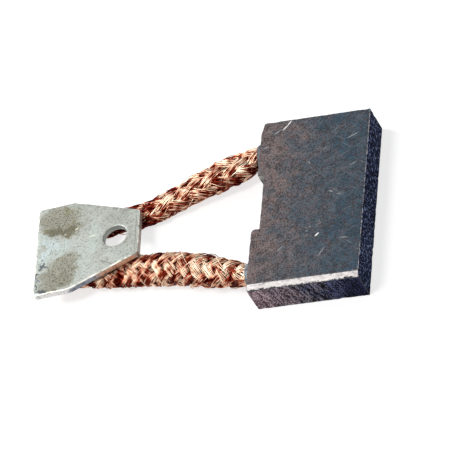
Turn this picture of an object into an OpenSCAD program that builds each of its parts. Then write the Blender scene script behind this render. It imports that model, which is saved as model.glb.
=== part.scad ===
// Carbon brush with two flexible braided shunts and one screw terminal.
// The block lies on its back face. The origin is at the bottom centre of the
// block, +X points to the running face, +Y along the long side of the block
// and +Z through its thickness. Sizes are in millimetres.

/* [Carbon block] */
// Width of the block, along the shaft of the machine
block_w = 50.8; // [44:0.1:60]
// Length of the block, from the tallest pad to the running face
block_l = 30; // [24:0.1:36]
// Thickness of the block
block_t = 9.5; // [8.5:0.1:14]
// Height of the pad over the recess on the +Y side
pad_high_y = 1.8; // [0.6:0.1:4]
// Height of the pad over the recess on the -Y side
pad_low_y = 2.2; // [0.6:0.1:4]
// Width of the recess between the two pads
recess_w = 16.4; // [8:0.1:20]
// Offset of the recess from the middle of the block
recess_off = 1; // [-3:0.1:3]
// Radius of the rounded shoulder on the -Y pad
shoulder_r = 1.2; // [0.3:0.1:3]
// Bevel of the long -Y edge, measured across the side face
bevel_z = 0.8; // [0.3:0.1:3]
// Bevel of the long -Y edge, measured across the top face
bevel_y = 1.7; // [0.3:0.1:3]
// Length of the small corner cut on the +Y pad, along the side
corner_y = 3.6; // [0.5:0.1:6]
// Depth of the small corner cut on the +Y pad
corner_x = 0.7; // [0.2:0.1:2]

/* [Tamped lead sockets] */
// Distance between the two sockets
lead_pitch = 36.6; // [30:0.1:38]
// Diameter of each socket drilled into the block
socket_d = 7; // [6.4:0.1:8]
// Depth of each socket, from the face of its pad
socket_depth = 10; // [6:0.1:14]
// Included angle of the drill point at the bottom of a socket
drill_angle = 118; // [90:1:140]
// Height of the cement collar that stands proud around each lead
collar_h = 1.5; // [0.4:0.1:3]
// Width of the collar wall at its rim, around the lead
collar_rim = 0.5; // [0.2:0.1:0.6]
// Cement left under the end of the lead in its socket
cement_floor = 1; // [0.5:0.1:3]

/* [Braided shunts] */
// Diameter of the round end of a braid inside its socket
lead_d = 5.6; // [4.8:0.1:6]
// Width of the braid where it runs free
braid_w = 8; // [6:0.1:10]
// Thickness of the braid where it runs free
braid_t = 5; // [3:0.1:5.6]
// Width of the braid where it is welded under the terminal
weld_w = 9.2; // [7:0.1:10]
// Thickness of the braid where it is welded under the terminal
weld_t = 3.2; // [1.6:0.1:3.4]
// Length of the welded stretch
weld_l = 9; // [5:0.1:14]

/* [Terminal] */
// Overall length of the terminal tab
tab_l = 29; // [26:0.1:40]
// Width of the wide end
tab_w = 28.8; // [26:0.1:36]
// Width of the narrow end
tab_nose_w = 14.2; // [12:0.1:20]
// Length of the straight sides at the wide end
tab_straight = 10; // [4:0.1:14]
// Thickness of the sheet
tab_t = 1.8; // [0.8:0.1:2.5]
// Diameter of the screw hole
hole_d = 6.6; // [4.2:0.1:8.4]
// Distance from the centre of the hole to the narrow end
hole_edge = 6.7; // [5.5:0.1:10]
// Radius of the corners of the sheet
tab_corner_r = 0.8; // [0.3:0.1:2]
// Distance of the weld on the +Y side from the middle line of the tab
weld_high_y = 6.3; // [5.4:0.1:7.5]
// Distance of the weld on the -Y side from the middle line of the tab
weld_low_y = 7.8; // [5.4:0.1:9.5]
// Distance of the end of the +Y braid from the wide end of the tab
weld_high_end = 1.5; // [0.5:0.1:6]
// Distance of the end of the -Y braid from the wide end of the tab
weld_low_end = 3.5; // [0.5:0.1:6]

/* [Hidden] */
$fn = 64;
eps = 0.01;

// The running face, the floor of the recess and the faces of the two pads
run_x = block_l / 2;
recess_x = -block_l / 2 + max(pad_high_y, pad_low_y);
pad_x = [recess_x - pad_high_y, recess_x - pad_low_y];
side_y = block_w / 2;

// The sockets lie in the middle of the thickness, one behind each pad
lead_y = [lead_pitch / 2, -lead_pitch / 2];
lead_z = block_t / 2;
socket_r = socket_d / 2;
drill_h = socket_r / tan(drill_angle / 2);

// How the terminal lies: the middle of the wide end on its lower face, and
// its turns about X, Y and Z
tab_at = [-76.5, -2.9, 4];
tab_turn = [-4.7, -1.2, 4.6];

// Routes of the free stretches: X, Y and Z of the centreline, then the share
// of the free width and of the free thickness at that point
route_high = [
    [-20.4, 16.5, 4.6, 1.05, 1.15],
    [-25, 15, 4.4, 1.12, 1.2],
    [-30.5, 13.2, 4, 1.05, 1.1],
    [-36.5, 11, 3.4, 0.95, 1],
    [-42, 9, 2.7, 0.95, 0.9],
    [-47, 7.5, 2, 1, 0.72],
    [-54, 6.3, 1.9, 1.05, 0.66]
];
route_low = [
    [-20.5, -16.8, 4.6, 0.95, 1.1],
    [-26, -15.3, 4.4, 1.1, 1.25],
    [-32, -13.5, 4.1, 1.18, 1.35],
    [-38, -12.1, 3.8, 1.2, 1.25],
    [-44, -11.2, 3.3, 1.26, 1],
    [-50.5, -10.6, 3, 1.22, 0.8],
    [-58, -10, 3, 1.16, 0.7]
];

// Roundness of a section: 1 is round, less is flatter
round_e = 1;
free_e = 0.85;
weld_e = 0.5;
sides = 12;

// Angles of the corners of a section, with one flat side up and one down
function section_angle(k) = (k + 0.5) * 360 / sides;
// How far the flat side of a section lies from its centre, as a share
function flat_share(e) = pow(cos(180 / sides), e);

function unit(v) = v / norm(v);
function rot_x(v, a) = [v.x, v.y * cos(a) - v.z * sin(a), v.y * sin(a) + v.z * cos(a)];
function rot_y(v, a) = [v.x * cos(a) + v.z * sin(a), v.y, -v.x * sin(a) + v.z * cos(a)];
function rot_z(v, a) = [v.x * cos(a) - v.y * sin(a), v.x * sin(a) + v.y * cos(a), v.z];
function turned(v) = rot_z(rot_y(rot_x(v, tab_turn.x), tab_turn.y), tab_turn.z);
// A point given in the terminal's own frame, where Z = 0 is its lower face
function on_tab(p) = tab_at + turned(p);
tab_up = turned([0, 0, 1]);

// One station of a braid: centre, width, thickness, roundness, up direction
function socket_stations(i) = [
    for (x = [pad_x[i] + socket_depth - cement_floor, pad_x[i], pad_x[i] - collar_h])
        [[x, lead_y[i], lead_z], lead_d, lead_d, round_e, [0, 0, 1]]
];
function free_stations(route) = [
    for (p = route)
        [[p[0], p[1], p[2]], braid_w * p[3], braid_t * p[4], free_e, [0, 0, 1]]
];
// The welded stretch lies with its flat side against the terminal
weld_drop = weld_t / 2 * flat_share(weld_e);
function weld_stations(y, end) = [
    for (x = [end + weld_l, end])
        [on_tab([x, y, -weld_drop]), weld_w, weld_t, weld_e, tab_up]
];
stations = [
    concat(socket_stations(0), free_stations(route_high),
           weld_stations(weld_high_y, weld_high_end)),
    concat(socket_stations(1), free_stations(route_low),
           weld_stations(-weld_low_y, weld_low_end))
];

// Direction of the route at a station: straight out of the socket as far as
// the rim of the collar, and straight along the weld
function heading(s, i) =
    i < 3 ? [-1, 0, 0]
    : i > len(s) - 3 ? unit(s[len(s) - 1][0] - s[len(s) - 2][0])
    : unit(s[i + 1][0] - s[i - 1][0]);
// One ring of points around a station, square to the route
function ring(s, i) =
    let (h = heading(s, i),
         across = unit(cross(s[i][4], h)),
         up = cross(h, across),
         e = s[i][3])
    [for (k = [0 : sides - 1])
        let (a = section_angle(k) + 90)
        s[i][0]
        + across * (s[i][1] / 2 * sign(cos(a)) * pow(abs(cos(a)), e))
        + up * (s[i][2] / 2 * sign(sin(a)) * pow(abs(sin(a)), e))];

// Corner of an outline, rounded by an arc of radius r between its two sides
function arc_corner(a, b, c, r, steps = 6) =
    let (u = unit(a - b), v = unit(c - b),
         half = acos(u * v) / 2,
         reach = r / tan(half),
         centre = b + unit(u + v) * (r / sin(half)),
         from = b + u * reach - centre,
         to = b + v * reach - centre,
         swing = atan2(from.x * to.y - from.y * to.x, from * to))
    [for (k = [0 : steps])
        let (w = swing * k / steps)
        centre + [from.x * cos(w) - from.y * sin(w), from.x * sin(w) + from.y * cos(w)]];
function rounded(points, r) = [
    for (k = [0 : len(points) - 1])
        each arc_corner(points[(k + len(points) - 1) % len(points)], points[k],
                        points[(k + 1) % len(points)], r)
];

// Outline of the block seen from the top: recess between two pads
module block_outline() {
    recess_hi = recess_off + recess_w / 2;
    recess_lo = recess_off - recess_w / 2;
    polygon(concat(
        [[run_x, -side_y], [run_x, side_y],
         [pad_x[0] + corner_x, side_y], [pad_x[0], side_y - corner_y],
         [pad_x[0], recess_hi], [recess_x, recess_hi], [recess_x, recess_lo]],
        arc_corner([recess_x, recess_lo], [pad_x[1], recess_lo],
                   [pad_x[1], -side_y], min(shoulder_r, pad_low_y * 0.9)),
        [[pad_x[1], -side_y]]));
}

// One socket with its drill point, running into the block along +X
module socket(i, start = 0) {
    translate([pad_x[i], lead_y[i], lead_z])
        rotate([0, 90, 0])
            rotate_extrude()
                polygon([[0, start], [socket_r, start], [socket_r, socket_depth],
                         [0, socket_depth + drill_h]]);
}

// The pressed block of metal graphite
module carbon_block() {
    color("#4a4c50")
    difference() {
        linear_extrude(block_t) block_outline();
        // Bevel along the whole -Y edge of the top face
        rotate([0, 90, 0])
            translate([0, 0, -block_l])
                linear_extrude(2 * block_l)
                    polygon([[-block_t, -side_y + bevel_y], [-block_t + bevel_z, -side_y],
                             [-block_t + bevel_z, -side_y - 1], [-block_t - 1, -side_y - 1],
                             [-block_t - 1, -side_y + bevel_y]]);
        socket(0, -eps);
        socket(1, -eps);
    }
}

// The conductive cement tamped round a lead: it fills the socket and stands
// proud of the pad as a low collar
module cement(i) {
    color("#8b97a3")
    difference() {
        translate([pad_x[i], lead_y[i], lead_z])
            rotate([0, 90, 0])
                rotate_extrude()
                    polygon([[0, -collar_h], [lead_d / 2 + collar_rim, -collar_h],
                             [socket_r, -collar_h / 3], [socket_r, socket_depth],
                             [0, socket_depth + drill_h]]);
        translate([pad_x[i] - collar_h - 1, lead_y[i], lead_z])
            rotate([0, 90, 0])
                cylinder(d = lead_d, h = collar_h + 1 + socket_depth - cement_floor);
    }
}
module cement_high() { cement(0); }
module cement_low() { cement(1); }

// A braid swept through its stations
module braid(s) {
    n = len(s);
    color("#c07a55")
    polyhedron(
        points = [for (i = [0 : n - 1]) each ring(s, i)],
        faces = concat(
            [[for (k = [0 : sides - 1]) k]],
            [for (i = [0 : n - 2], k = [0 : sides - 1])
                let (a = i * sides + k, b = i * sides + (k + 1) % sides)
                each [[a, a + sides, b], [b, a + sides, b + sides]]],
            [[for (k = [sides - 1 : -1 : 0]) (n - 1) * sides + k]]),
        convexity = 6);
}
module braid_high() { braid(stations[0]); }
module braid_low() { braid(stations[1]); }

// The tinned copper tab: wide end for the two welds, narrow end for the screw
module terminal() {
    color("#b4bbb3")
    translate(tab_at) rotate(tab_turn)
        difference() {
            linear_extrude(tab_t)
                polygon(rounded([
                    [0, -tab_w / 2], [tab_straight, -tab_w / 2],
                    [tab_l, -tab_nose_w / 2], [tab_l, tab_nose_w / 2],
                    [tab_straight, tab_w / 2], [0, tab_w / 2]], tab_corner_r));
            translate([tab_l - hole_edge, 0, -1])
                cylinder(d = hole_d, h = tab_t + 2);
        }
}

carbon_block();
cement_high();
cement_low();
braid_high();
braid_low();
terminal();
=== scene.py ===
"""Carbon brush: a metal-graphite block, two braided copper shunts and a tinned terminal tab.

Everything is in metres in the frame of the solids: +X to the running face, +Y along the
block, +Z up, with the block lying on its back face at Z = 0.
"""

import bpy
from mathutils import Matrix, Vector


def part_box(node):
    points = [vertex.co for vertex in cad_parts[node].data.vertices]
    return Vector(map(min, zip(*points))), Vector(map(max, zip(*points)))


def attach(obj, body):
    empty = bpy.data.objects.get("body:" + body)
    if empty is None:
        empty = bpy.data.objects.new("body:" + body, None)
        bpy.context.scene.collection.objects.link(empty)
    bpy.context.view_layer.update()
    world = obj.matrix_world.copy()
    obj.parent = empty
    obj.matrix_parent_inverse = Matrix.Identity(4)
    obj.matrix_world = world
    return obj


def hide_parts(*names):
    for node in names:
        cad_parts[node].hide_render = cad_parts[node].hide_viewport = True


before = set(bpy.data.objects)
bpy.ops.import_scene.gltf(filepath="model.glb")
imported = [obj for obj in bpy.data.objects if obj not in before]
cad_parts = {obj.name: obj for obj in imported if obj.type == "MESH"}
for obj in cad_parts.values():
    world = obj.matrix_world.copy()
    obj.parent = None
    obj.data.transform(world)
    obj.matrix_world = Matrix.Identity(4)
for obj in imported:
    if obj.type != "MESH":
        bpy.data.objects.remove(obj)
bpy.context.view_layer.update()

import copy
import math
import random

import bmesh
import bpy
import numpy as np
from mathutils import Euler, Matrix, Vector, noise

MM = 0.001
scene = bpy.context.scene


# ---------------------------------------------------------------- sizes, in millimetres
block_low, block_high = (Vector(c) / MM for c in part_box("carbon_block"))
PAD_HIGH_X = block_low.x + 0.4      # face of the +Y pad
PAD_LOW_X = block_low.x             # face of the -Y pad, the taller one
RECESS_X = block_low.x + 2.2        # floor of the recess between them
RECESS_Y = (-7.2, 9.2)
SHOULDER_R = 1.2
BEVEL_Y, BEVEL_Z = 1.7, 0.8         # bevel along the -Y edge of the upper face
CORNER = (0.7, 3.6)                 # corner cut on the +Y pad
LEAD_Y = 18.3
LEAD_Z = block_high.z / 2
LEAD_R = 2.8
LEAD_IN = 4.0                       # how far into its socket each lead is drawn
SOCKET_R = 3.5
COLLAR = 1.5
BROKEN_EDGE = 0.15                  # how far the block's sharp edges are broken
CHIP_SIZE, CHIP_DEPTH = 1.3, 0.22   # chips along those edges

TAB_AT = Vector((-76.5, -2.9, 4.0))
TAB_TURN = Euler([math.radians(a) for a in (-4.7, -1.2, 4.6)])
TAB_L, TAB_W, TAB_NOSE, TAB_STRAIGHT, TAB_T = 29.0, 28.8, 14.2, 10.0, 1.8
HOLE_R, HOLE_X = 3.3, 22.3
CORNER_R = 0.8
TAB_WEAR_SIZE, TAB_WEAR_DEPTH = 2.2, 0.07

# Stations of each braid: X, Y, Z of the centreline, width and thickness there
ROUTE_HIGH = [
    (-20.4, 16.5, 4.6, 8.4, 5.75), (-25, 15, 4.4, 8.96, 6.0), (-30.5, 13.2, 4, 8.4, 5.5),
    (-36.5, 11, 3.4, 7.6, 5.0), (-42, 9, 2.7, 7.6, 4.5), (-47, 7.5, 2, 8.0, 3.6),
    (-54, 6.6, 1.9, 7.7, 3.3),
]
ROUTE_LOW = [
    (-20.5, -16.8, 4.6, 7.6, 5.5), (-26, -15.3, 4.4, 8.8, 6.25), (-32, -13.5, 4.1, 9.44, 6.75),
    (-38, -12.1, 3.8, 9.6, 6.25), (-44, -11.2, 3.3, 10.1, 5.0), (-50.5, -10.6, 3, 9.76, 4.0),
    (-58, -10, 3, 9.28, 3.5),
]
WELD_W, WELD_T, WELD_L = 9.2, 3.2, 9.0
WELD_HIGH = (6.3, 1.5)              # distance from the tab's middle line, and from its wide end
WELD_LOW = (-7.8, 3.5)
WELD_FLAT_ANGLE = 15                # how far off its top a weld's flat side begins, in degrees
WELD_DARK_X, WELD_DARK_REACH = -52.5, 8.0    # where the copper is darkened: by welding heat, and by painted shade where the braid runs under the tab

# How the bundles are plaited: bundles each way, wires in each, length of a turn, which way
# is on top along the middle, how much the wires of a bundle differ in brightness, how much
# a bundle changes along its way, and how much painted shade darkens the flanks and the
# stretch by the weld, where welding heat darkens it too
PLAIT_HIGH = {"bundles": 6, "wires": 9, "pitch": 42, "phase": 0, "mix": 0.9, "wave": 0.2,
              "darkening": (0.4, 0.85)}
PLAIT_LOW = {"bundles": 6, "wires": 8, "pitch": 23, "phase": 2, "mix": 0.35, "wave": 0.55,
             "darkening": (0.25, 0.3)}
WIRE_D, STRAY_D, STRAY_COUNT = 0.34, 0.2, 50
WIRE_STEP, CORE_STEP = 0.45, 2.0    # between the points along a wire, and the core's rings
TUBE_INSET = 0.8                    # of the tube that the bundles wind round
CORE_INSET_W, CORE_INSET_T = 1.15, 1.0

# How a bundle lies: how far it rises over the others, its crown and fall to its sides, and
# how flat the bundles are pressed at the weld, from where and over what length
RISE, CROWN, FALL = 0.45, 0.16, 0.34
PRESSED, PRESS_FROM, PRESS_OVER = 0.25, 6, 8

# How unevenly bundles and wires lie: how far each wanders, and the lengths of its waves
BUNDLE_DRIFT = (0.012, (23, 11))    # round the braid, as a share of a turn
BUNDLE_PUFF = (0.1, (17, 8))
BUNDLE_SPREAD = (0.14, (13, 7))     # as a share of its width
BUNDLE_TINT_WAVES = (9, 5)
WIRE_SHIFT = (0.22, (12, 6.3, 3.7))
WIRE_LIFT, WIRE_LIFT_WAVES = 0.12, (7, 3.7)
LOOSE_SHARE, LOOSENESS = 0.08, 2.6  # wires that lie looser than the rest, and by how much

# Marks on the block's large face: x, y, angle in degrees, length, width
BRIGHT_SCRATCHES = [(-7.0, 24.3, 55, 2.6, 0.42), (-8.0, 23.1, 46, 2.6, 0.42),
                    (3.1, -11.4, 44, 1.8, 0.6)]
FAINT_SCRATCHES = [(-10.2, 21.9, 32, 2.4, 0.5), (10.7, 17.7, 23, 4.2, 0.35),
                   (-12.9, 17.7, 17, 1.8, 0.4), (10.4, -13.3, -8, 2.8, 0.35),
                   (-6.5, -14.2, 47, 3.0, 0.3), (4.6, -16.8, 59, 4.0, 0.3),
                   (1.1, -8.7, -50, 0.6, 0.4), (0.2, -9.9, -38, 0.6, 0.4),
                   (8.2, 0.2, 5, 1.6, 0.3), (11.5, 9.0, 24, 2.6, 0.25),
                   (5.9, 1.3, -25, 1.6, 0.45), (-0.6, 11.1, -40, 0.8, 0.4)]
DARK_DENTS = [(1.3, 7.5, -29, 2.6, 0.4), (3.1, 6.4, -35, 3.0, 0.4), (5.2, 5.3, -17, 3.0, 0.35),
              (0.5, 3.5, -84, 2.6, 0.35), (1.6, 1.5, -54, 2.9, 0.45), (3.4, 0.0, -29, 3.2, 0.4),
              (12.4, -2.3, 22, 1.8, 0.35), (13.4, -1.6, 39, 1.8, 0.35)]

# Marks on the tab, in the same terms from the middle of its wide end
KHAKI = [(6, 9.5, 10, 15, 12), (9, 6.5, 0, 9, 9), (7.5, -9, -20, 12, 14), (9, -4.5, 0, 9, 5)]
TAB_STAINS = [
    (KHAKI, "#8b8878", 0.82),
    ([(7.5, -11, 10, 9, 6), (4, -13, 0, 8, 3), (3.5, -9, 80, 8, 5)], "#858274", 0.6),
    ([(5.6, 5.4, -3, 9.5, 4), (9.0, 5.0, 10, 5, 3)], "#6b6755", 0.88),
    ([(10, 7.6, 30, 4, 2.2), (8.6, 11.6, 0, 4, 2), (2.6, 6.2, 0, 3, 2)], "#817b60", 0.55),
    ([(4.5, 1.2, -30, 8, 4.5), (3.0, -1.6, 70, 6, 3.5)], "#b6c1c1", 0.85),
    ([(0.9, -7.8, 80, 3.4, 2.0), (2.6, -13.6, 5, 4.6, 1.5), (2.7, -5, -65, 3.8, 1.1),
      (0.8, -11, 80, 5, 1.4)], "#4b5058", 0.9),
]
TAB_CRACKS = [(8.2, 9.4, 68, 3.6, 0.35), (7.4, 7.5, 55, 2.2, 0.35), (2.0, -3.1, 20, 1.0, 0.8),
              (4.8, 1.6, 75, 2.2, 0.3), (4.3, -0.8, 78, 3.0, 0.3),
              (20.2, -8.1, -33, 4.8, 0.35), (19.2, -7.8, -58, 2.2, 0.3),
              (8.3, -12.3, 0, 1.2, 0.6), (10.8, -7.8, 20, 1.0, 0.6), (28.1, 0, 90, 17, 0.25)]
# Painted highlights on the tab: small pale glints, in the same terms
TAB_PAINTED_GLINTS = [(15.8, 1.6, 4, 2.6, 0.4), (11.3, 5.2, 35, 1.6, 0.6), (4.6, -14.1, 2, 3.0, 0.4),
              (22.9, 8.6, 60, 1.2, 0.4)]


# ---------------------------------------------------------------- small helpers
def srgb(code):
    """Linear colour of an sRGB hex value."""
    parts = [int(code[k:k + 2], 16) / 255 for k in (1, 3, 5)]
    return (*[c / 12.92 if c <= 0.04045 else ((c + 0.055) / 1.055) ** 2.4 for c in parts], 1)


def plug(tree, node, sockets):
    """Gives each socket a value, a hex colour or another node's output."""
    for name, value in sockets.items():
        if isinstance(value, bpy.types.NodeSocket):
            tree.links.new(value, node.inputs[name])
        else:
            node.inputs[name].default_value = srgb(value) if isinstance(value, str) else value


def add(tree, kind, sockets=None, out=None, stops=(), **settings):
    """Adds a node with its settings and links, and gives back the output that is named, or
    the first in use. The stops of a colour ramp are positions and hex colours."""
    made = tree.nodes.new("ShaderNode" + kind)
    for name, value in settings.items():
        setattr(made, name, value)
    for _ in stops[2:]:
        made.color_ramp.elements.new(0.5)
    for k, (position, code) in enumerate(stops):
        element = made.color_ramp.elements[k]
        element.position, element.color = position, srgb(code)
    plug(tree, made, sockets or {})
    return made.outputs[out] if out else next((s for s in made.outputs if s.enabled), None)


def new_material(name):
    """A material with only its shader and output, and the object's coordinates."""
    mat = bpy.data.materials.new(name)
    mat.use_nodes = True
    tree = mat.node_tree
    tree.nodes.clear()
    surface = add(tree, "BsdfPrincipled")
    add(tree, "OutputMaterial", {"Surface": surface})
    return mat, tree, surface.node, add(tree, "TexCoord", out="Object")


def new_object(name, data):
    """An object of that data, linked to the scene."""
    obj = bpy.data.objects.new(name, data)
    scene.collection.objects.link(obj)
    return obj


def new_mesh(name, bm):
    """A mesh from a bmesh, which is freed."""
    mesh = bpy.data.meshes.new(name)
    bm.to_mesh(mesh)
    bm.free()
    return mesh


def finish_piece(obj, *nodes, slot=None):
    """The piece rides on the body and stands for its CAD nodes."""
    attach(obj, "root")
    if nodes:
        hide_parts(*nodes)
    return obj


def on_tab(x, y, z):
    """A point given in the tab's own frame, where Z = 0 is its lower face."""
    return TAB_AT + TAB_TURN.to_matrix() @ Vector((x, y, z))


# ---------------------------------------------------------------- camera, floor and light
def set_camera():
    data = bpy.data.cameras.new("studio_camera")
    data.lens, data.sensor_width = 334.5, 36
    data.clip_start, data.clip_end = 0.05, 10
    camera = new_object("studio_camera", data)
    camera.location = (0.33876, -0.58651, 0.83166)
    camera.rotation_euler = [math.radians(a) for a in (34.8116, 20.5842, 4.98975)]
    scene.camera = camera


def set_floor():
    bm = bmesh.new()
    bmesh.ops.create_grid(bm, x_segments=2, y_segments=2, size=4)
    floor = new_object("floor", new_mesh("floor", bm))
    # Just under the block, so that the two don't share a plane
    floor.location.z = -0.1 * MM
    mat = bpy.data.materials.new("pale_floor")
    mat.use_nodes = True
    tree = mat.node_tree
    tree.nodes.clear()
    seen = add(tree, "Math", {0: add(tree, "LightPath", out="Is Camera Ray"),
                              1: add(tree, "LightPath", out="Is Glossy Ray")},
               operation="MAXIMUM")
    matt = add(tree, "BsdfDiffuse", {"Color": "#bcbcbc"})
    lift = add(tree, "Emission", {"Color": "#dbdbdb", "Strength": seen})
    both = add(tree, "AddShader", {0: matt, 1: lift})
    add(tree, "OutputMaterial", {"Surface": both})
    floor.data.materials.append(mat)


def set_lights():
    def lamp(name, size, place, target, power, colour="#ffffff"):
        data = bpy.data.lights.new(name, "AREA")
        data.shape, data.size, data.energy = "DISK", size, power
        data.color = srgb(colour)[:3]
        obj = new_object(name, data)
        obj.location = place
        aim = Vector(target) - Vector(place)
        obj.rotation_euler = aim.to_track_quat("-Z", "Y").to_euler()

    middle = (-0.03, 0, 0)
    lamp("overhead_softbox", 0.3, (-0.33, -0.24, 0.92), middle, 4)
    lamp("side_key", 0.22, (-0.75, 0.25, 0.62), middle, 6)
    world = bpy.data.worlds.new("studio")
    scene.world = world
    world.use_nodes = True
    tree = world.node_tree
    tree.nodes.clear()
    seen = add(tree, "LightPath", out="Is Camera Ray")
    for ray in ("Is Transmission Ray", "Is Glossy Ray"):
        seen = add(tree, "Math", {0: seen, 1: add(tree, "LightPath", out=ray)},
                   operation="MAXIMUM")
    strength = add(tree, "MapRange", {"Value": seen, "To Min": 0.3, "To Max": 1.0})
    back = add(tree, "Background", {"Color": "#ffffff", "Strength": strength})
    add(tree, "OutputWorld", {"Surface": back})


# ---------------------------------------------------------------- braided shunts
def braid_stations(side):
    """Rows of x, y, z, width, thickness, flatness and up direction, from socket to weld."""
    route, pad, y = ((ROUTE_HIGH, PAD_HIGH_X, LEAD_Y) if side > 0
                     else (ROUTE_LOW, PAD_LOW_X, -LEAD_Y))
    rows = [(x, y, LEAD_Z, 2 * LEAD_R, 2 * LEAD_R, 1, 0, 0, 1)
            for x in (pad + LEAD_IN, pad, pad - COLLAR)]
    rows += [(*p, 0.85, 0, 0, 1) for p in route]
    up = TAB_TURN.to_matrix() @ Vector((0, 0, 1))
    weld_y, end = WELD_HIGH if side > 0 else WELD_LOW
    drop = WELD_T / 2 * math.sqrt(math.cos(math.radians(WELD_FLAT_ANGLE)))
    for x in (end + WELD_L, end):
        rows.append((*on_tab(x, weld_y, -drop), WELD_W, WELD_T, 0.5, *up))
    return np.array(rows, float)


def smooth_rows(rows, step):
    """The rows joined by a smooth curve, at an even step along it."""
    knots = np.r_[0, np.cumsum(np.linalg.norm(np.diff(rows[:, :3], axis=0), axis=1))]
    slopes = np.gradient(rows, knots, axis=0)
    slopes[:3, :3] = (-1, 0, 0)
    out = []
    for a, b, p, q, m, n in zip(knots, knots[1:], rows, rows[1:], slopes, slopes[1:]):
        for t in np.linspace(0, 1, 40, endpoint=False):
            h = b - a
            out.append((2 * t**3 - 3 * t**2 + 1) * p + (t**3 - 2 * t**2 + t) * h * m
                       + (3 * t**2 - 2 * t**3) * q + (t**3 - t**2) * h * n)
    out.append(rows[-1])
    out = np.array(out)
    along = np.r_[0, np.cumsum(np.linalg.norm(np.diff(out[:, :3], axis=0), axis=1))]
    count = max(2, int(along[-1] / step))
    even = np.linspace(0, along[-1], count + 1)
    return np.column_stack([np.interp(even, along, c) for c in out.T]), even


class Lead:
    """The flat tube that a braid's bundles wind round, from its socket to its weld."""

    def __init__(self, side, step, inset):
        self.rows, self.along = smooth_rows(braid_stations(side), step)
        centre = self.rows[:, :3]
        heading = np.gradient(centre, axis=0)
        heading /= np.linalg.norm(heading, axis=1)[:, None]
        across = np.cross(self.rows[:, 6:9], heading)
        across /= np.linalg.norm(across, axis=1)[:, None]
        up = np.cross(heading, across)
        turn = np.linspace(0, 2 * np.pi, 97)
        self.rings, self.outs, self.shares, self.girth = [], [], [], []
        for k, row in enumerate(self.rows):
            e = row[5]
            u = np.sign(np.cos(turn)) * np.abs(np.cos(turn)) ** e * (row[3] / 2 - inset)
            v = np.sign(np.sin(turn)) * np.abs(np.sin(turn)) ** e * (row[4] / 2 - inset)
            du, dv = np.gradient(u), np.gradient(v)
            du[0] = du[-1] = (u[1] - u[-2]) / 2
            dv[0] = dv[-1] = (v[1] - v[-2]) / 2
            size = np.hypot(du, dv)
            nu, nv = dv / size, -du / size
            run = np.r_[0, np.cumsum(np.hypot(np.diff(u), np.diff(v)))]
            self.girth.append(run[-1])
            self.shares.append(run / run[-1])
            self.rings.append(centre[k] + np.outer(u, across[k]) + np.outer(v, up[k]))
            self.outs.append(np.outer(nu, across[k]) + np.outer(nv, up[k]))
        self.girth = np.array(self.girth)

    def part(self, first, last):
        """The same tube between two of its stations."""
        piece = copy.copy(self)
        for name in ("rows", "along", "rings", "outs", "shares", "girth"):
            setattr(piece, name, getattr(self, name)[first:last])
        return piece

    def around(self, table, share):
        """A table's vectors at a share of the way round, one per step."""
        return np.array([[np.interp(f % 1.0, turn, column) for column in ring.T]
                         for f, turn, ring in zip(share, self.shares, table)])

    def points(self, share, lift):
        """Points at a share of the way round and a height over the tube, one per step,
        resting on what the brush lies on where they would go under it."""
        made = self.around(self.rings, share) + lift[:, None] * self.around(self.outs, share)
        made[:, 2] = np.maximum(made[:, 2], WIRE_D / 2)
        return made

    def painted_shade_and_heat(self, share, flank, weld):
        """How far a wire is darkened: by painted shade low on the braid's flanks, where they face
        down, and near the terminal by welding heat and by painted shade under the tab.
        """
        up = self.around(self.outs, share)[:, 2]
        # Near the weld the darkening is partly welding heat and partly painted shade under the
        # tab
        heat = np.exp(-((self.rows[:, 0] - WELD_DARK_X) / WELD_DARK_REACH) ** 2)
        return flank * np.clip((0.55 - up) / 0.9, 0, 1) + weld * heat


def wander(rng, along, size, waves):
    """A smooth random line of about that size, with waves of those lengths."""
    line = np.zeros_like(along)
    for length in waves:
        length *= rng.uniform(0.8, 1.25)
        line += np.sin(2 * np.pi * (along / length + rng.random()))
    return size * line / len(waves)


def wires_of(lead, rng, way, tone, plait):
    """The wires of the bundles that wind one way round a braid, over two and under two."""
    along, made = lead.along, []
    bundles, wires, pitch = plait["bundles"], plait["wires"], plait["pitch"]
    to_end = lead.rows[:, 0] - lead.rows[-1, 0]
    settle = np.clip((to_end - PRESS_FROM) / PRESS_OVER, PRESSED, 1)
    lean = math.hypot(1, np.mean(lead.girth) / pitch)
    for b in range(bundles):
        drift = wander(rng, along, *BUNDLE_DRIFT)
        puff = wander(rng, along, *BUNDLE_PUFF)
        spread = 1 + wander(rng, along, *BUNDLE_SPREAD)
        # Where this bundle stands among those that wind the other way
        count = 2 * b + way * 2 * bundles * along / pitch + plait["phase"]
        over = way * RISE * np.tanh(1.8 * np.sin(np.pi / 2 * count + np.pi / 4))
        # tone is painted light on this lay: lighter or darker, as light catches the wires that
        # run this way
        bundle_tint = (rng.uniform(-0.1, 0.1) + tone
                       + wander(rng, along, plait["wave"], BUNDLE_TINT_WAVES))
        for w in range(wires):
            place = w - (wires - 1) / 2
            crown = CROWN - FALL * (2 * place / (wires - 1)) ** 2
            shift = place * WIRE_D * lean * spread + wander(rng, along, *WIRE_SHIFT)
            loose = 1.0 if rng.random() > LOOSE_SHARE else LOOSENESS
            lift = over + crown + puff + wander(rng, along, WIRE_LIFT * loose, WIRE_LIFT_WAVES)
            share = b / bundles + way * along / pitch + drift + shift / lead.girth
            # The tint takes off painted shade on the flanks and by the weld, as well as welding
            # heat
            tint = (0.5 + plait["mix"] * rng.uniform(-0.5, 0.5) + bundle_tint
                    - lead.painted_shade_and_heat(share, *plait["darkening"]))
            made.append((lead.points(share, lift * settle), tint, lift,
                         along + rng.uniform(0, 900)))
    return made


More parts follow.
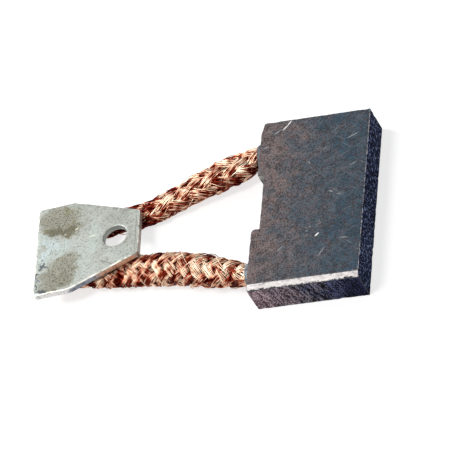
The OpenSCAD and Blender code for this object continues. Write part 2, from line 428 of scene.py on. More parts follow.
def stray_wires(lead, rng, count, pitch):
    """Short broken wires that have sprung out of the bundles."""
    made = []
    for _ in range(count):
        size = rng.randint(7, 20)
        first = rng.randint(4, len(lead.along) - size - 30)
        part = lead.part(first, first + size)
        way, start = rng.choice((1, -1)), rng.random()
        share = start + way * (part.along - part.along[0]) / (pitch * rng.uniform(0.6, 1.2))
        t = np.linspace(0, 1, size)
        bow = np.sin(np.pi * t) if rng.random() > 0.4 else t ** 1.5
        lift = 0.3 + bow * rng.uniform(0.35, 0.95)
        made.append((part.points(share, lift), np.full(size, rng.uniform(0.1, 1)),
                     np.full(size, 0.3), part.along + rng.uniform(0, 900)))
    return made


def wire_mesh(name, wires, wire_d):
    """One mesh of wires along lines of points, with each wire's tint, height and run."""
    curve = bpy.data.curves.new(name, "CURVE")
    curve.dimensions, curve.bevel_depth, curve.bevel_resolution = "3D", wire_d / 2 * MM, 0
    for line, *_ in wires:
        spline = curve.splines.new("POLY")
        spline.points.add(len(line) - 1)
        spline.points.foreach_set("co", np.column_stack([line * MM, np.ones(len(line))]).ravel())
    shell = new_object(name + "_curve", curve)
    mesh = bpy.data.meshes.new_from_object(shell.evaluated_get(
        bpy.context.evaluated_depsgraph_get()))
    bpy.data.objects.remove(shell)
    bpy.data.curves.remove(curve)
    mesh.name = name
    mesh.shade_smooth()
    sides = len(mesh.vertices) // sum(len(line) for line, *_ in wires)
    columns = (("tint", [tint for _, tint, *_ in wires]),
               ("height", [high for *_, high, _ in wires]),
               ("run", [run for *_, run in wires]))
    for label, values in columns:
        data = np.repeat(np.concatenate(values), sides).astype(np.float32)
        mesh.attributes.new(label, "FLOAT", "POINT").data.foreach_set("value", data)
    bm = bmesh.new()
    bm.from_mesh(mesh)
    bmesh.ops.holes_fill(bm, edges=[e for e in bm.edges if e.is_boundary], sides=4)
    bm.to_mesh(mesh)
    bm.free()
    return new_object(name, mesh)


def braid_core(name, side):
    """The braid's heart, painted dark as shade, seen only between the bundles."""
    lead = Lead(side, CORE_STEP, 0.0)
    rows = lead.rows
    bm = bmesh.new()
    loops = []
    heading = np.gradient(rows[:, :3], axis=0)
    for row, ahead in zip(rows, heading):
        z = Vector(ahead).normalized()
        x = Vector(row[6:9]).cross(z).normalized()
        y = z.cross(x)
        turn = Matrix((x, y, z)).transposed().to_4x4()
        size = Matrix.Diagonal(((row[3] / 2 - CORE_INSET_W) * MM,
                                (row[4] / 2 - CORE_INSET_T) * MM, MM, 1))
        ring = bmesh.ops.create_circle(
            bm, segments=20, radius=1,
            matrix=Matrix.Translation(Vector(row[:3]) * MM) @ turn @ size)["verts"]
        loops.append({e for v in ring for e in v.link_edges})
    for a, b in zip(loops, loops[1:]):
        bmesh.ops.bridge_loops(bm, edges=list(a | b))
    bmesh.ops.holes_fill(bm, edges=list(loops[0]) + list(loops[-1]))
    bmesh.ops.recalc_face_normals(bm, faces=bm.faces)
    mesh = new_mesh(name, bm)
    mesh.shade_smooth()
    return new_object(name, mesh)


def bare_copper():
    """Drawn copper wire, bare: pale where it is bright, red brown where it has dulled, and
    darkened by painted shade low on the braid's flanks, by the weld and under the crossing
    bundles.
    """
    mat, tree, shader, place = new_material("drawn_copper_wire")
    tint, height, run = (add(tree, "Attribute", out="Fac", attribute_name=name)
                         for name in ("tint", "height", "run"))
    # Each wire is bright for a few millimetres and dull for the next few
    streak = add(tree, "TexNoise", {"W": run, "Scale": 0.45, "Detail": 2},
                 noise_dimensions="1D")
    streak = add(tree, "MapRange", {"Value": streak, "From Min": 0.3, "From Max": 0.7})
    # Patches of dulling, about 2 mm across
    patch = add(tree, "TexNoise", {"Vector": place, "Scale": 1 / (1.92 * MM), "Detail": 1.5})
    patch = add(tree, "MapRange", {"Value": patch, "From Min": 0.35, "From Max": 0.65})
    shade = add(tree, "Math", {0: tint, 1: 0.42, 2: 0.04}, operation="MULTIPLY_ADD")
    for layer, weight in ((streak, 0.2), (patch, 0.4)):
        shade = add(tree, "Math", {0: layer, 1: weight, 2: shade}, operation="MULTIPLY_ADD")
    body = add(tree, "ValToRGB", {"Fac": shade},
               stops=[(0.17, "#430502"), (0.34, "#88301c"), (0.47, "#c99277"),
                      (0.62, "#e5c5a8"), (0.87, "#f9e6d2")])
    # Painted shade: a wire that dives under the next bundle is darkened there, where the next
    # bundle shades it
    under_bundle_shade = add(tree, "MapRange", {"Value": height, "From Min": -0.45, "From Max": 0.15})
    body = add(tree, "Mix", {"Factor": under_bundle_shade, "A": "#2e0502", "B": body}, data_type="RGBA")
    plug(tree, shader, {"Base Color": body, "Metallic": 1, "Roughness": 0.48})
    return mat


def dark_core():
    """The inside of the braid: copper painted dark as the braid's own shadow."""
    mat, tree, shader, _ = new_material("painted_shade_copper_core")
    plug(tree, shader, {"Base Color": "#3a0f08", "Metallic": 0.6, "Roughness": 0.7})
    return mat


def make_braid(name, side, seed, painted_lay_light, plait, copper, core_mat):
    rng = random.Random(seed)
    lead = Lead(side, WIRE_STEP, TUBE_INSET)
    pieces = []
    # Painted highlight and shade: each lay is made lighter or darker, as light catches the wires
    # that run one way
    for way, tag, tone in ((1, "_right_lay", painted_lay_light[0]), (-1, "_left_lay", painted_lay_light[1])):
        pieces.append(wire_mesh(name + tag, wires_of(lead, rng, way, tone, plait), WIRE_D))
    pieces.append(wire_mesh(name + "_stray_wires",
                            stray_wires(lead, rng, STRAY_COUNT, plait["pitch"]), STRAY_D))
    for piece in pieces:
        piece.data.materials.append(copper)
    core = braid_core(name + "_core", side)
    core.data.materials.append(core_mat)
    pieces.append(core)
    for piece, stands_for in zip(pieces, ([name], [], [], [])):
        finish_piece(piece, *stands_for, slot="copper_braid")
    return pieces[0], pieces[1:], lead


# ---------------------------------------------------------------- block
# What each face of the block is finished with, in the order of its material slots
FLAT, RUNNING, SIDE, BACK, BEVEL, EDGE, WORN_EDGE, SMEAR, BLACK_EDGE = range(9)


def mesh_piece(name, bm, materials):
    """A piece from a bmesh in millimetres, with its materials."""
    bmesh.ops.scale(bm, vec=(MM, MM, MM), verts=bm.verts)
    bmesh.ops.recalc_face_normals(bm, faces=bm.faces)
    mesh = new_mesh(name, bm)
    for mat in materials:
        mesh.materials.append(mat)
    return new_object(name, mesh)


def dice(bm, axis, first, last, step):
    """Cuts the mesh by planes a step apart, so that its edges can be worn."""
    normal = Vector([k == axis for k in range(3)])
    for place in np.arange(first, last, step):
        bmesh.ops.bisect_plane(bm, geom=bm.verts[:] + bm.edges[:] + bm.faces[:],
                               plane_co=normal * place, plane_no=normal, dist=1e-5)


def wear(bm, verts, size, depth):
    """Chips the given vertices inwards, more in some places than in others."""
    bm.normal_update()
    moves = []
    for v in verts:
        coarse = noise.noise(v.co / size)
        fine = noise.noise(v.co / size * 3.1 + Vector((7, 3, 1)))
        chip = max(0, coarse - 0.05) * 0.9 + max(0, fine) * 0.45
        moves.append(v.normal * -min(chip * depth, depth))
    for v, move in zip(verts, moves):
        v.co += move


def make_block(materials):
    width, height = block_high.y, block_high.z
    front = block_high.x
    bm = bmesh.new()
    outline = [(front, -width), (front, width), (PAD_HIGH_X + CORNER[0], width),
               (PAD_HIGH_X, width - CORNER[1]), (PAD_HIGH_X, RECESS_Y[1]),
               (RECESS_X, RECESS_Y[1]), (RECESS_X, RECESS_Y[0]), (PAD_LOW_X, RECESS_Y[0]),
               (PAD_LOW_X, -width)]
    bottom = bm.faces.new([bm.verts.new((x, y, 0)) for x, y in outline])
    raised = bmesh.ops.extrude_face_region(bm, geom=[bottom])["geom"]
    bmesh.ops.translate(bm, vec=(0, 0, height),
                        verts=[g for g in raised if isinstance(g, bmesh.types.BMVert)])
    shoulder = [e for e in bm.edges if all(abs(v.co.x - PAD_LOW_X) < 0.01
                                           and abs(v.co.y - RECESS_Y[0]) < 0.01 for v in e.verts)]
    bmesh.ops.bevel(bm, geom=shoulder, offset=SHOULDER_R, segments=6, profile=0.5,
                    affect="EDGES", material=-1)
    cut = bmesh.ops.bisect_plane(
        bm, geom=bm.verts[:] + bm.edges[:] + bm.faces[:], clear_outer=True,
        plane_co=(0, -width, height - BEVEL_Z), plane_no=(0, -BEVEL_Z, BEVEL_Y))["geom_cut"]
    bmesh.ops.holes_fill(bm, edges=[g for g in cut if isinstance(g, bmesh.types.BMEdge)])
    bmesh.ops.recalc_face_normals(bm, faces=bm.faces)

    # Every sharp edge is broken, as it is when a block is tumbled after grinding
    sharp = [e for e in bm.edges if e.calc_face_angle(0) > 0.3]
    broken = bmesh.ops.bevel(bm, geom=sharp, offset=BROKEN_EDGE, segments=2, profile=0.5,
                             affect="EDGES", material=-1)["faces"]
    bm.normal_update()
    for face in bm.faces:
        n, c = face.normal, face.calc_center_median()
        if n.z > 0.3 and n.y < -0.2 and abs(n.x) < 0.1:
            face.material_index = BEVEL
        elif abs(n.z) > 0.7:
            face.material_index = FLAT
        elif n.x > 0.7:
            face.material_index = RUNNING
        elif abs(n.y) > 0.7:
            face.material_index = SIDE if abs(c.y) > LEAD_Y else SMEAR
        else:
            face.material_index = BACK
    for face in broken:
        c = face.calc_center_median()
        upper = c.z > height - 0.5 and abs(c.y) < width - 1
        if c.x > front - 0.5:
            face.material_index = WORN_EDGE if upper else BLACK_EDGE
        else:
            face.material_index = EDGE
    dice(bm, 0, block_low.x + 0.45, front, 0.55)
    dice(bm, 1, -width + 0.5, width, 0.6)
    dice(bm, 2, 0.5, height, 0.6)
    rim = {v for f in bm.faces for v in f.verts
           if f.material_index in (EDGE, WORN_EDGE, BLACK_EDGE)}
    wear(bm, sorted(rim, key=lambda v: v.index), CHIP_SIZE, CHIP_DEPTH)
    return mesh_piece("ground_block", bm, materials)


def marks(tree, place, rows, strength=1.0):
    """A mask of fine marks, each with its x, y, angle, length and width."""
    mask = 0.0
    for x, y, angle, length, width in rows:
        at = add(tree, "Mapping", {"Vector": place, "Location": (x * MM, y * MM, 0),
                                   "Rotation": (0, 0, math.radians(angle)),
                                   "Scale": (length * MM / 2, width * MM / 2, 100)},
                 vector_type="TEXTURE")
        spot = add(tree, "TexGradient", {"Vector": at}, out="Fac", gradient_type="SPHERICAL")
        mask = add(tree, "Math", {0: mask, 1: spot}, operation="MAXIMUM")
    return add(tree, "MapRange", {"Value": mask, "From Min": 0.05, "From Max": 0.45,
                                  "To Max": strength})


def strokes(tree, place, size, turn=(0, 0, 0), detail=1, roughness=0.5):
    """Noise drawn out into strokes: how long they are along each axis, and the turn in
    degrees that lays them the way the tool went."""
    at = add(tree, "Mapping", {"Vector": place, "Rotation": [math.radians(a) for a in turn],
                               "Scale": [length * MM for length in size]},
             vector_type="TEXTURE")
    return add(tree, "TexNoise", {"Vector": at, "Scale": 1, "Detail": detail,
                                  "Roughness": roughness})


def hairlines(tree, place, angles, strength):
    """A mask of faint fine scratches on the large face, in a few directions."""
    mask = 0.0
    for angle in angles:
        lines = strokes(tree, place, (5, 0.3, 0.3), turn=(0, 0, angle))
        mask = add(tree, "Math", {0: mask, 1: lines}, operation="MAXIMUM")
    return add(tree, "MapRange", {"Value": mask, "From Min": 0.66, "From Max": 0.76,
                                  "To Max": strength})


def along_block(tree, place, cloud_size, cloud_amount):
    """0 at the leads to 1 at the running face, shifted by clouds of that many millimetres."""
    along = add(tree, "MapRange", {"Value": add(tree, "SeparateXYZ", {"Vector": place}, out="X"),
                                   "From Min": -14 * MM, "From Max": 13 * MM})
    cloud = add(tree, "TexNoise", {"Vector": place, "Scale": 1 / (cloud_size * MM),
                                   "Detail": 4, "Roughness": 0.6})
    cloud = add(tree, "MapRange", {"Value": cloud, "From Min": 0.3, "From Max": 0.7,
                                   "To Min": -cloud_amount, "To Max": cloud_amount})
    return add(tree, "Math", {0: along, 1: cloud}, operation="ADD")


def ground_graphite(name, scratched):
    """Metal graphite, pressed and ground flat: dull, with fine copper and graphite grains,
    browner near the leads and bluer towards the running face, and scratched by handling."""
    mat, tree, shader, place = new_material(name)
    tone = along_block(tree, place, 5, 0.38)
    dark = add(tree, "ValToRGB", {"Fac": tone},
               stops=[(0.0, "#271c1f"), (0.45, "#0a0d16"), (1.0, "#000813")])
    light = add(tree, "ValToRGB", {"Fac": tone},
                stops=[(0.0, "#827270"), (0.45, "#5a5e67"), (1.0, "#2d4a5e")])
    # Grains of about 0.4 mm, coarser than the powder so that they show, in clouds of 1.7 mm
    speck = add(tree, "TexNoise", {"Vector": place, "Scale": 1 / (0.4 * MM), "Detail": 2,
                                   "Roughness": 0.75})
    mottle = add(tree, "TexNoise", {"Vector": place, "Scale": 1 / (1.7 * MM), "Detail": 3,
                                    "Roughness": 0.6})
    mixed = add(tree, "Math", {0: mottle, 1: 0.38, 2: speck}, operation="MULTIPLY_ADD")
    share = add(tree, "MapRange", {"Value": mixed, "From Min": 0.572, "From Max": 0.818})
    body = add(tree, "Mix", {"Factor": share, "A": dark, "B": light}, data_type="RGBA")
    # Where copper or graphite grains crowd, the face is red brown or blue green
    fleck = add(tree, "TexNoise", {"Vector": place, "Scale": 1 / (1.2 * MM), "Detail": 2,
                                   "Roughness": 0.5})
    fleck = add(tree, "ValToRGB", {"Fac": fleck},
                stops=[(0.38, "#86503a"), (0.5, "#5b5b5e"), (0.62, "#386468")])
    body = add(tree, "Mix", {"Factor": 0.08, "A": body, "B": fleck}, data_type="RGBA")
    wear_marks = [(hairlines(tree, place, (24, 47, -38), 0.22), "#a9adb0")]
    if scratched:
        wear_marks += [(marks(tree, place, DARK_DENTS, 0.65), "#14171d"),
                       (marks(tree, place, FAINT_SCRATCHES), "#96999b"),
                       (marks(tree, place, BRIGHT_SCRATCHES), "#f2efec")]
    for mask, colour in wear_marks:
        body = add(tree, "Mix", {"Factor": mask, "A": body, "B": colour}, data_type="RGBA")
    relief = add(tree, "Bump", {"Height": speck, "Distance": 0.03 * MM, "Strength": 0.6})
    plug(tree, shader, {"Base Color": body, "Roughness": 0.62, "Specular IOR Level": 0.3,
                        "Normal": relief})
    return mat


def running_graphite():
    """The cut running face: open, coarse grain, nearly black, with crystals whose pale specks are
    painted glints.
    """
    mat, tree, shader, place = new_material("running_face_graphite")
    pits = strokes(tree, place, (0.42, 0.42, 0.7), turn=(-29, 0, 0))
    # The palest stops are painted glints on the crystals
    body = add(tree, "ValToRGB", {"Fac": pits},
               stops=[(0.5, "#000520"), (0.56, "#060f36"), (0.61, "#40507e"), (0.65, "#acbfee")])
    relief = add(tree, "Bump", {"Height": pits, "Distance": 0.1 * MM, "Strength": 0.6})
    plug(tree, shader, {"Base Color": body, "Roughness": 0.7, "Specular IOR Level": 0.03,
                        "Normal": relief})
    return mat


def sawn_graphite():
    """The sawn narrow sides: torn grain with slanting saw strokes, purple brown near the
    leads and nearly black towards the running face."""
    mat, tree, shader, place = new_material("sawn_metal_graphite")
    tone = along_block(tree, place, 4, 0.2)
    dark = add(tree, "ValToRGB", {"Fac": tone},
               stops=[(0.1, "#645058"), (0.5, "#15141e"), (0.7, "#000004")])
    light = add(tree, "ValToRGB", {"Fac": tone},
                stops=[(0.1, "#e4cad3"), (0.5, "#a59cab"), (0.7, "#6c7298"), (1.0, "#3a406a")])
    # Torn strokes leaning one way, saw lines leaning the other
    torn = strokes(tree, place, (0.55, 0.33, 0.33), turn=(0, -48, 0))
    lines = strokes(tree, place, (3.2, 0.45, 0.45), turn=(0, 74, 0))
    rough = add(tree, "Math", {0: lines, 1: 0.7, 2: torn}, operation="MULTIPLY_ADD")
    share = add(tree, "MapRange", {"Value": rough, "From Min": 0.81, "From Max": 0.97})
    body = add(tree, "Mix", {"Factor": share, "A": dark, "B": light}, data_type="RGBA")
    relief = add(tree, "Bump", {"Height": rough, "Distance": 0.1 * MM, "Strength": 0.7})
    plug(tree, shader, {"Base Color": body, "Roughness": 0.7, "Specular IOR Level": 0.04,
                        "Normal": relief})
    return mat


def burnished_and_highlit_bevel():
    """The ground bevel: the stone has burnished its copper and graphite pale, and the pale colour
    is partly a painted highlight.
    """
    mat, tree, shader, place = new_material("burnished_and_highlit_bevel")
    smear = strokes(tree, place, (1.6, 0.8, 0.8), detail=3, roughness=0.7)
    # These pale stops are partly burnished metal and partly a painted highlight
    body = add(tree, "ValToRGB", {"Fac": smear},
               stops=[(0.3, "#7c7678"), (0.45, "#a9a4a3"), (0.7, "#c2bebb")])
    # Its lower edge has crumbled in bites of about 0.6 mm
    bites = add(tree, "TexNoise", {"Vector": place, "Scale": 1 / (0.6 * MM), "Detail": 1})
    bites = add(tree, "MapRange", {"Value": bites, "From Min": 0.3, "From Max": 0.7,
                                   "To Min": -0.18 * MM, "To Max": 0.18 * MM})
    level = add(tree, "Math", {0: add(tree, "SeparateXYZ", {"Vector": place}, out="Z"),
                               1: bites}, operation="ADD")
    lower_edge = (block_high.z - BEVEL_Z) * MM
    chipped = add(tree, "MapRange", {"Value": level, "From Min": lower_edge + 0.1 * MM,
                                     "From Max": lower_edge + 0.05 * MM})
    body = add(tree, "Mix", {"Factor": chipped, "A": body, "B": "#1d1c22"}, data_type="RGBA")
    speck = add(tree, "TexNoise", {"Vector": place, "Scale": 1 / (0.5 * MM), "Detail": 3,
                                   "Roughness": 0.6})
    relief = add(tree, "Bump", {"Height": speck, "Distance": 0.02 * MM, "Strength": 0.5})
    plug(tree, shader, {"Base Color": body, "Metallic": 0.5, "Roughness": 0.5,
                        "Normal": relief})
    return mat


def broken_edge(name, size, rub, pale, dark):
    """An edge broken by handling: grains of that many millimetres have fallen out, and the
    rest is rubbed pale."""
    mat, tree, shader, place = new_material(name)
    crumbs = add(tree, "TexNoise", {"Vector": place, "Scale": 1 / (size * MM), "Detail": 3,
                                    "Roughness": 0.7})
    body = add(tree, "ValToRGB", {"Fac": crumbs}, stops=[(rub, dark), (rub + 0.06, pale)])
    plug(tree, shader, {"Base Color": body, "Roughness": 0.55})
    return mat


def tamped_cement(name, pale, dark):
    """Tamped conductive cement: metallic grey grains of 0.7 mm packed round the lead."""
    mat, tree, shader, place = new_material(name)
    packed = add(tree, "TexNoise", {"Vector": place, "Scale": 1 / (0.7 * MM), "Detail": 3,
                                    "Roughness": 0.7})
    body = add(tree, "ValToRGB", {"Fac": packed}, stops=[(0.35, dark), (0.6, pale)])
    relief = add(tree, "Bump", {"Height": packed, "Distance": 0.15 * MM})
    plug(tree, shader, {"Base Color": body, "Metallic": 0.1, "Roughness": 0.6,
                        "Normal": relief})
    return mat


def smeared_cement():
    """Cement smeared over the recess's wall by the tamping tool, thinning to bare graphite
    towards the bottom."""
    mat, tree, shader, place = new_material("smeared_cement")
    packed = add(tree, "TexNoise", {"Vector": place, "Scale": 1 / (0.7 * MM), "Detail": 3,
                                    "Roughness": 0.7})
    pale = add(tree, "ValToRGB", {"Fac": packed}, stops=[(0.35, "#8f928e"), (0.6, "#cfd0c6")])
    bare = add(tree, "ValToRGB", {"Fac": packed}, stops=[(0.35, "#26262b"), (0.6, "#6f6c70")])
    ragged = add(tree, "TexNoise", {"Vector": place, "Scale": 1 / (2.5 * MM), "Detail": 3,
                                    "Roughness": 0.7})
    ragged = add(tree, "MapRange", {"Value": ragged, "From Min": 0.3, "From Max": 0.7,
                                    "To Min": -3 * MM, "To Max": 3 * MM})
    level = add(tree, "Math", {0: add(tree, "SeparateXYZ", {"Vector": place}, out="Z"),
                               1: ragged}, operation="ADD")
    reach = add(tree, "MapRange", {"Value": level, "From Min": 5.2 * MM, "From Max": 6 * MM})
    body = add(tree, "Mix", {"Factor": reach, "A": bare, "B": pale}, data_type="RGBA")
    relief = add(tree, "Bump", {"Height": packed, "Distance": 0.1 * MM})
    plug(tree, shader, {"Base Color": body, "Metallic": 0.1, "Roughness": 0.6,
                        "Normal": relief})
    return mat


# ---------------------------------------------------------------- terminal and cement
TINNED, RIM, SHEARED = range(3)


def make_terminal(materials):
    """The punched tab: rounded corners, a rolled upper edge and a rolled rim at the hole."""
    half, nose = TAB_W / 2, TAB_NOSE / 2
    bm = bmesh.new()
    outline = [(0, -half), (TAB_STRAIGHT, -half), (TAB_L, -nose), (TAB_L, nose),
               (TAB_STRAIGHT, half), (0, half)]
    plate = bm.faces.new([bm.verts.new((x, y, 0)) for x, y in outline])
    bmesh.ops.bevel(bm, geom=plate.verts[:], offset=CORNER_R, segments=4, profile=0.5,
                    affect="VERTICES", material=-1)
    bmesh.ops.delete(bm, geom=bm.faces[:], context="FACES_ONLY")
    bmesh.ops.create_circle(bm, segments=48, radius=HOLE_R,
                            matrix=Matrix.Translation((HOLE_X, 0, 0)))
    bmesh.ops.triangle_fill(bm, edges=bm.edges[:], use_beauty=True)
    raised = bmesh.ops.extrude_face_region(bm, geom=bm.faces[:])["geom"]
    bmesh.ops.translate(bm, vec=(0, 0, TAB_T),
                        verts=[g for g in raised if isinstance(g, bmesh.types.BMVert)])
    bmesh.ops.recalc_face_normals(bm, faces=bm.faces)

    def rim_edges(upper, hole):
        for e in bm.edges:
            a, b = (v.co for v in e.verts)
            at_hole = (a - Vector((HOLE_X, 0, a.z))).length < HOLE_R + 0.1
            flat = abs(a.z - b.z) < 0.01 and (a.z > TAB_T / 2) == upper
            if e.calc_face_angle(0) > 1 and flat and at_hole == hole:
                yield e

    # The upper edges are rolled and the lower ones only broken
    strips = []
    for upper, hole, size, steps in ((True, True, 0.22, 3), (True, False, 0.3, 3),
                                     (False, True, 0.15, 1), (False, False, 0.12, 1)):
        faces = bmesh.ops.bevel(bm, geom=list(rim_edges(upper, hole)), offset=size,
                                segments=steps, profile=0.5, affect="EDGES",
                                material=-1)["faces"]
        if upper and not hole:
            strips = faces
    bm.normal_update()
    for face in bm.faces:
        hub = (face.calc_center_median().xy - Vector((HOLE_X, 0))).length
        outside = abs(face.normal.z) < 0.3 and hub > 1.5 * HOLE_R
        face.material_index = SHEARED if outside else TINNED
    for face in strips:
        if face.is_valid:
            face.material_index = RIM
    dice(bm, 0, 0.9, TAB_L, 1.1)
    dice(bm, 1, -half + 0.9, half, 1.1)
    # The sheet is a little wavy from punching and welding
    for v in bm.verts:
        v.co.z += 0.07 * noise.noise(Vector((v.co.x / 7, v.co.y / 7, 2.5)))
        v.co.z -= 0.05 * noise.noise(Vector((v.co.x / 3, v.co.y / 3, 8.5)))
    rim = [v for v in bm.verts if any(f.material_index != TINNED for f in v.link_faces)]
    wear(bm, rim, TAB_WEAR_SIZE, TAB_WEAR_DEPTH)
    bmesh.ops.transform(bm, verts=bm.verts,
                        matrix=Matrix.Translation(TAB_AT) @ TAB_TURN.to_matrix().to_4x4())
    obj = mesh_piece("tinned_tab", bm, materials)
    smooth(obj, 35)
    return obj


def smooth(obj, angle):
    """Shades the piece smooth, apart from edges sharper than that many degrees."""
    obj.data.shade_smooth()
    obj.data.set_sharp_from_angle(angle=math.radians(angle))


def in_tab(tree, place):
    """The object's coordinates turned into the tab's own."""
    return add(tree, "Mapping", {"Vector": place, "Location": TAB_AT * MM,
                                 "Rotation": TAB_TURN}, vector_type="TEXTURE")


def tinned_copper():
    """Hot-tinned copper sheet, dulled: mint grey clouds, with khaki heat stains and blue
    grey tarnish at the two welds."""
    mat, tree, shader, place = new_material("dull_tinned_copper")
    local = in_tab(tree, place)
    # The stains' outlines wander by about 3 mm
    push = add(tree, "TexNoise", {"Vector": local, "Scale": 1 / (2.2 * MM), "Detail": 3,
                                  "Roughness": 0.65}, out="Color")
    push = add(tree, "VectorMath", {0: push, 1: (0.5, 0.5, 0.5)}, operation="SUBTRACT")
    push = add(tree, "VectorMath", {0: push, "Scale": 6.5 * MM}, operation="SCALE")
    stained = add(tree, "VectorMath", {0: local, 1: push}, operation="ADD")
    cloud = add(tree, "TexNoise", {"Vector": local, "Scale": 1 / (5 * MM), "Detail": 4,
                                   "Roughness": 0.6})
    body = add(tree, "ValToRGB", {"Fac": cloud},
               stops=[(0.3, "#9a9c95"), (0.5, "#a9ada7"), (0.7, "#afb8b3")])
    for rows, colour, amount in TAB_STAINS:
        body = add(tree, "Mix", {"Factor": marks(tree, stained, rows, amount), "A": body,
                                 "B": colour}, data_type="RGBA")
    # Pin holes and grains of about 0.5 mm, coarser than the tin's own so that they show
    pits = add(tree, "TexNoise", {"Vector": local, "Scale": 1 / (0.55 * MM), "Detail": 2,
                                  "Roughness": 0.7})
    pits = add(tree, "ValToRGB", {"Fac": pits},
               stops=[(0.3, "#bdbeb8"), (0.47, "#f3f3f3"), (0.7, "#ffffff")])
    body = add(tree, "Mix", {"Factor": 1.0, "A": body, "B": pits}, data_type="RGBA",
               blend_type="MULTIPLY")
    # Dark dots, only in the khaki stains
    dots = add(tree, "TexNoise", {"Vector": local, "Scale": 1 / (0.45 * MM), "Detail": 1})
    dots = add(tree, "MapRange", {"Value": dots, "From Min": 0.42, "From Max": 0.37,
                                  "To Max": 0.85})
    dots = add(tree, "Math", {0: dots, 1: marks(tree, stained, KHAKI)}, operation="MULTIPLY")
    # The glints are painted highlights; the dots and cracks are the tab's own marks
    for mask, colour in ((dots, "#4a4a40"), (marks(tree, local, TAB_CRACKS, 0.65), "#474b42"),
                         (marks(tree, local, TAB_PAINTED_GLINTS, 0.7), "#d9d9c4")):
        body = add(tree, "Mix", {"Factor": mask, "A": body, "B": colour}, data_type="RGBA")
    grain = add(tree, "TexNoise", {"Vector": local, "Scale": 1 / (0.8 * MM), "Detail": 3,
                                   "Roughness": 0.7})
    relief = add(tree, "Bump", {"Height": grain, "Distance": 0.03 * MM, "Strength": 0.6})
    plug(tree, shader, {"Base Color": body, "Metallic": 0.85, "Roughness": 0.5,
                        "Normal": relief})
    return mat


def rubbed_rim():
    """The rolled upper edge, rubbed bright where fingers and tools touch it."""
    mat, tree, shader, place = new_material("rubbed_tin_edge")
    worn = add(tree, "TexNoise", {"Vector": in_tab(tree, place), "Scale": 1 / (2.2 * MM),
                                  "Detail": 3, "Roughness": 0.6})
    body = add(tree, "ValToRGB", {"Fac": worn},
               stops=[(0.35, "#8d9088"), (0.5, "#c9cac0"), (0.62, "#f1eee2")])
    plug(tree, shader, {"Base Color": body, "Metallic": 0.8, "Roughness": 0.38})
    return mat


def sheared_copper():
    """The sheared edge: tin smeared over it at the wide end, heat-blued in the middle and bare
    copper towards the screw hole, made paler by a painted highlight, near white at the wide end."""
    mat, tree, shader, place = new_material("sheared_copper_edge")
    local = in_tab(tree, place)
    shift = add(tree, "TexNoise", {"Vector": local, "Scale": 1 / (2.5 * MM), "Detail": 2,
                                   "Roughness": 0.6})
    shift = add(tree, "MapRange", {"Value": shift, "From Min": 0.3, "From Max": 0.7,
                                   "To Min": -1.2 * MM, "To Max": 1.2 * MM})
    reach = add(tree, "Math", {0: add(tree, "SeparateXYZ", {"Vector": local}, out="X"),
                               1: shift}, operation="ADD")
    share = add(tree, "MapRange", {"Value": reach, "From Max": TAB_L * MM})
    # The near-white stops at the wide end and the pale copper are partly painted highlight
    body = add(tree, "ValToRGB", {"Fac": share},
               stops=[(0.0, "#faf8f6"), (0.34, "#f4f0ee"), (0.37, "#868d9b"),
                      (0.56, "#979aa4"), (0.64, "#dfab8d"), (0.93, "#e6b697"),
                      (0.97, "#c0b2a8")])
    shear = strokes(tree, local, (0.8, 0.8, 2.7), detail=3, roughness=0.7)
    grooves = add(tree, "ValToRGB", {"Fac": shear}, stops=[(0.3, "#a8a8a8"), (0.5, "#ffffff")])
    body = add(tree, "Mix", {"Factor": 1.0, "A": body, "B": grooves}, data_type="RGBA",
               blend_type="MULTIPLY")
    relief = add(tree, "Bump", {"Height": shear, "Distance": 0.05 * MM, "Strength": 0.7})
    plug(tree, shader, {"Base Color": body, "Metallic": 0.3, "Roughness": 0.45,
                        "Normal": relief})
    return mat


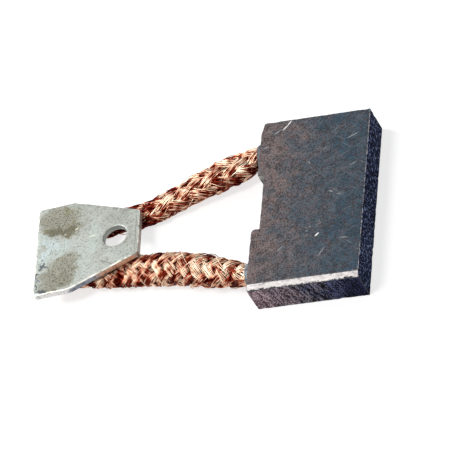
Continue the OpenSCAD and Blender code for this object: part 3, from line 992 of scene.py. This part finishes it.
def make_collar(name, pad, y, seed, mat):
    """A lumpy ring of cement, pressed up round the lead by the tamping tool."""
    bm = bmesh.new()
    profile = [(pad + 0.6, SOCKET_R - 0.1), (pad - 0.1, SOCKET_R), (pad - 0.6, SOCKET_R - 0.02),
               (pad - 1.1, SOCKET_R - 0.15), (pad - COLLAR, SOCKET_R - 0.4),
               (pad - COLLAR, LEAD_R - 0.4), (pad - 0.3, LEAD_R - 0.9)]
    points = [bm.verts.new((x, y + r, LEAD_Z)) for x, r in profile]
    edges = [bm.edges.new(pair) for pair in zip(points, points[1:])]
    bmesh.ops.spin(bm, geom=points + edges, cent=(pad, y, LEAD_Z), axis=(1, 0, 0),
                   angle=2 * math.pi, steps=56, use_merge=True)
    bmesh.ops.remove_doubles(bm, verts=bm.verts, dist=1e-4)
    bmesh.ops.holes_fill(bm, edges=[e for e in bm.edges if e.is_boundary])
    bmesh.ops.subdivide_edges(bm, edges=bm.edges[:], cuts=1, use_grid_fill=True)
    bmesh.ops.recalc_face_normals(bm, faces=bm.faces)
    bm.normal_update()
    # Lumps of about 1 mm with grains of 0.5 mm on them
    lumps = [v.normal * (0.22 * noise.noise(v.co / 1.1 + Vector((seed, 0, 0)))
                         + 0.1 * noise.noise(v.co / 0.45)) for v in bm.verts]
    for v, lump in zip(bm.verts, lumps):
        v.co += lump
    return mesh_piece(name, bm, [mat])


# ---------------------------------------------------------------- the object
set_camera()
set_floor()
set_lights()

block_materials = [
    ground_graphite("ground_metal_graphite", True), running_graphite(), sawn_graphite(),
    ground_graphite("unmarked_metal_graphite", False), burnished_and_highlit_bevel(),
    broken_edge("broken_edge", 0.8, 0.52, "#6f6a6c", "#2a2b33"),
    broken_edge("worn_running_edge", 0.9, 0.47, "#cfc4c8", "#3a3d49"),
    smeared_cement(),
    broken_edge("blackened_edge", 0.8, 0.52, "#1b1e2c", "#04050b"),
]
finish_piece(make_block(block_materials), "carbon_block", slot="carbon_block")

copper, core_mat = bare_copper(), dark_core()
# The two numbers of each braid are painted light: one lay is made lighter and the other darker,
# as light catches wires that run one way
braids = [
    make_braid("braid_high", 1, 3, (-0.15, 0.05), PLAIT_HIGH, copper, core_mat),
    make_braid("braid_low", -1, 5, (0.2, -0.2), PLAIT_LOW, copper, core_mat),
]
tab = make_terminal([tinned_copper(), rubbed_rim(), sheared_copper()])
finish_piece(tab, "terminal", slot="terminal")
# The upper collar's cement is a darker copy of the lower one's, painted as shade
collars = [make_collar("cement_collar_high", PAD_HIGH_X, LEAD_Y, 1,
                       tamped_cement("darker_shaded_cement", "#6d6c70", "#3c3d42")),
           make_collar("cement_collar_low", PAD_LOW_X, -LEAD_Y, 4,
                       tamped_cement("tamped_cement", "#9aa0a6", "#43484d"))]
for collar, node in zip(collars, ("cement_high", "cement_low")):
    finish_piece(collar, node, slot="cement")

scene.view_settings.view_transform = "Standard"
